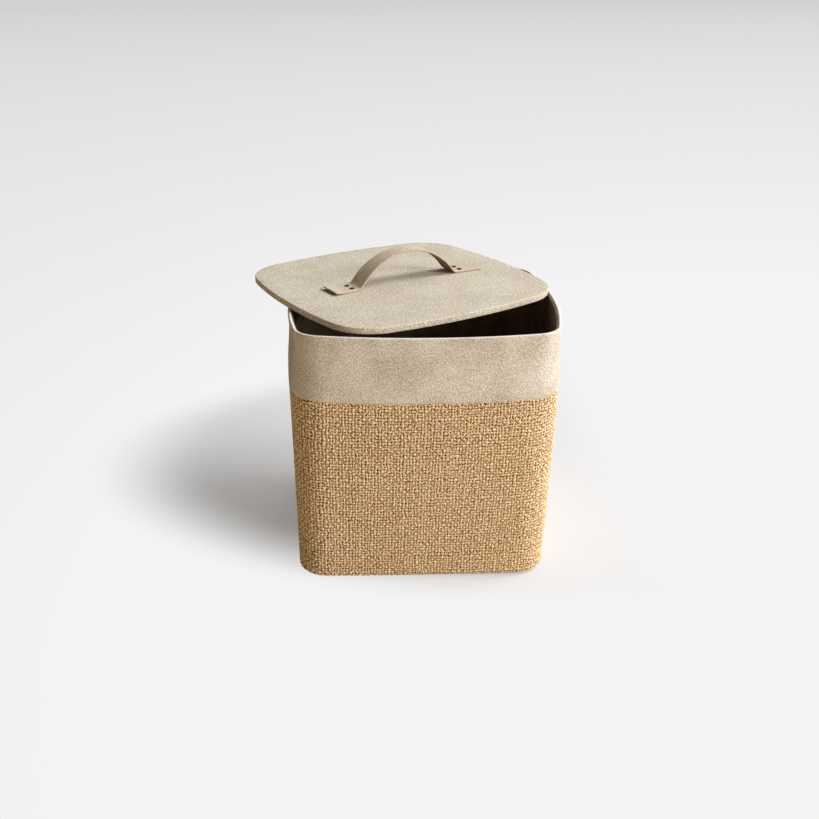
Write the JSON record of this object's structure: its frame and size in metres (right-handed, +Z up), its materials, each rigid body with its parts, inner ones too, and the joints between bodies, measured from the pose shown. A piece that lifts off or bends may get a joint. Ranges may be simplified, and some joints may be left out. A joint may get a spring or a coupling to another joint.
{
  "type": "lidded basket",
  "caption": "Nearly square basket of woven jute with a suede band round its rim, a dark lining and a loose, flat, suede-covered lid with an arched strap handle.",
  "frame": {"origin": "middle of the basket's underside, where it stands", "axes": "+Z up, -Y towards the front of the picture, +X to its right"},
  "size_m": [0.291, 0.2941, 0.2824],
  "materials": {
    "jute": "coarse plain weave of natural jute",
    "band_suede": "matt beige suede",
    "lid_suede": "matt cream suede",
    "strap_suede": "matt cream suede",
    "lining": "matt dark brown cloth",
    "board": "plain fibreboard",
    "rivet": "dark bronzed"
  },
  "bodies": {
    "basket": {"base_cover": "jute", "base_board": "board", "wall_board": "board", "jute_wall": "jute", "suede_band": "band_suede", "lining_wall": "lining", "lining_base": "lining"},
    "lid": {"lid_under_cover": "lining", "lid_board": "board", "lid_top_cover": "lid_suede", "handle_strap": "strap_suede", "handle_rivet_left_front": "rivet", "handle_rivet_left_back": "rivet", "handle_rivet_right_front": "rivet", "handle_rivet_right_back": "rivet"}
  },
  "joints": [
    {"name": "lid_lift", "type": "slide", "parent": "basket", "child": "lid", "axis": [0, 0, 1], "range_m": [0, 0.16]}
  ]
}
